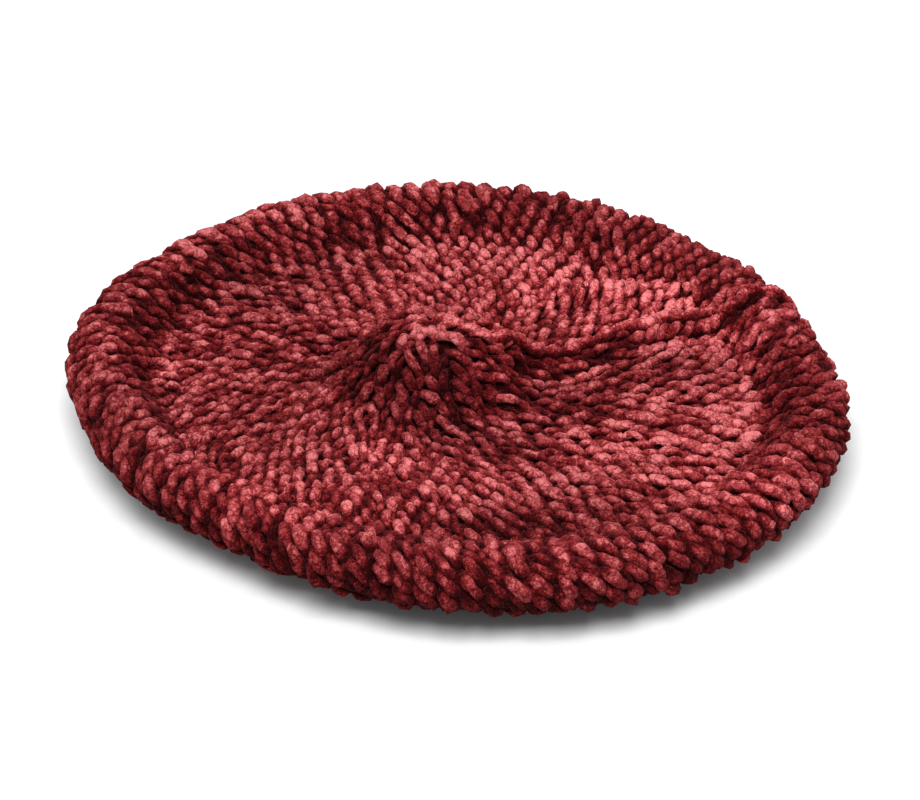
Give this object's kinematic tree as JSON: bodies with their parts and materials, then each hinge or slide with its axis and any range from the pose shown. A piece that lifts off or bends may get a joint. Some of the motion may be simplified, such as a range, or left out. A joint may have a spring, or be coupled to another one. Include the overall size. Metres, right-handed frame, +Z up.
{
  "type": "knitted beret",
  "caption": "Chunky chenille-knit beret lying flat: rib headband, soft underside, rolled rim and a crown gathered to a small knob, with one side seam.",
  "frame": {"origin": "centre of the head opening, on the plane the headband rests on", "axes": "+Z up through the crown, -Y towards the front of the beret as it lies, +X towards its right"},
  "size_m": [0.2784, 0.2774, 0.0473],
  "materials": {
    "chenille_yarn": "matt velvety pile, dark crimson",
    "rib_yarn": "matt velvety pile, dark crimson",
    "seam_yarn": "matt, pulled tight",
    "elastic_cord": "covered elastic thread",
    "woven_label": "blank satin weave",
    "label_thread": "sewing thread"
  },
  "bodies": {
    "headband": {"headband": "rib_yarn", "cast_on_edge": "rib_yarn", "band_elastic": "elastic_cord", "band_seam_yarn": "seam_yarn", "cast_on_tail": "seam_yarn", "label_tack_left": "label_thread", "label_tack_right": "label_thread"},
    "label": {"label": "woven_label"},
    "increase_row": {"increase_row": "chenille_yarn"},
    "crown": {"crown_underside": "chenille_yarn", "crown_top": "chenille_yarn", "crown_seam_yarn": "seam_yarn", "underside_seam_yarn": "seam_yarn", "gather_yarn": "seam_yarn", "gather_knot": "seam_yarn"},
    "gather_tail": {"gather_tail": "seam_yarn"}
  },
  "joints": [
    {"name": "crown_lift", "type": "slide", "parent": "headband", "child": "increase_row", "axis": [0, 0, 1], "range_m": [0, 0.022]},
    {"name": "crown_flop", "type": "hinge", "parent": "increase_row", "child": "crown", "pos_m": [-0.085, 0, 0.0105], "axis": [0, -1, 0], "range_deg": [0, 12]},
    {"name": "label_flip", "type": "hinge", "parent": "headband", "child": "label", "pos_m": [0, 0.0764, 0.0142], "axis": [-1, 0, 0], "range_deg": [0, 40]},
    {"name": "tail_swing", "type": "hinge", "parent": "crown", "child": "gather_tail", "pos_m": [-0.0063, 0, 0.02814], "axis": [0, 1, 0], "range_deg": [-20, 20]}
  ]
}
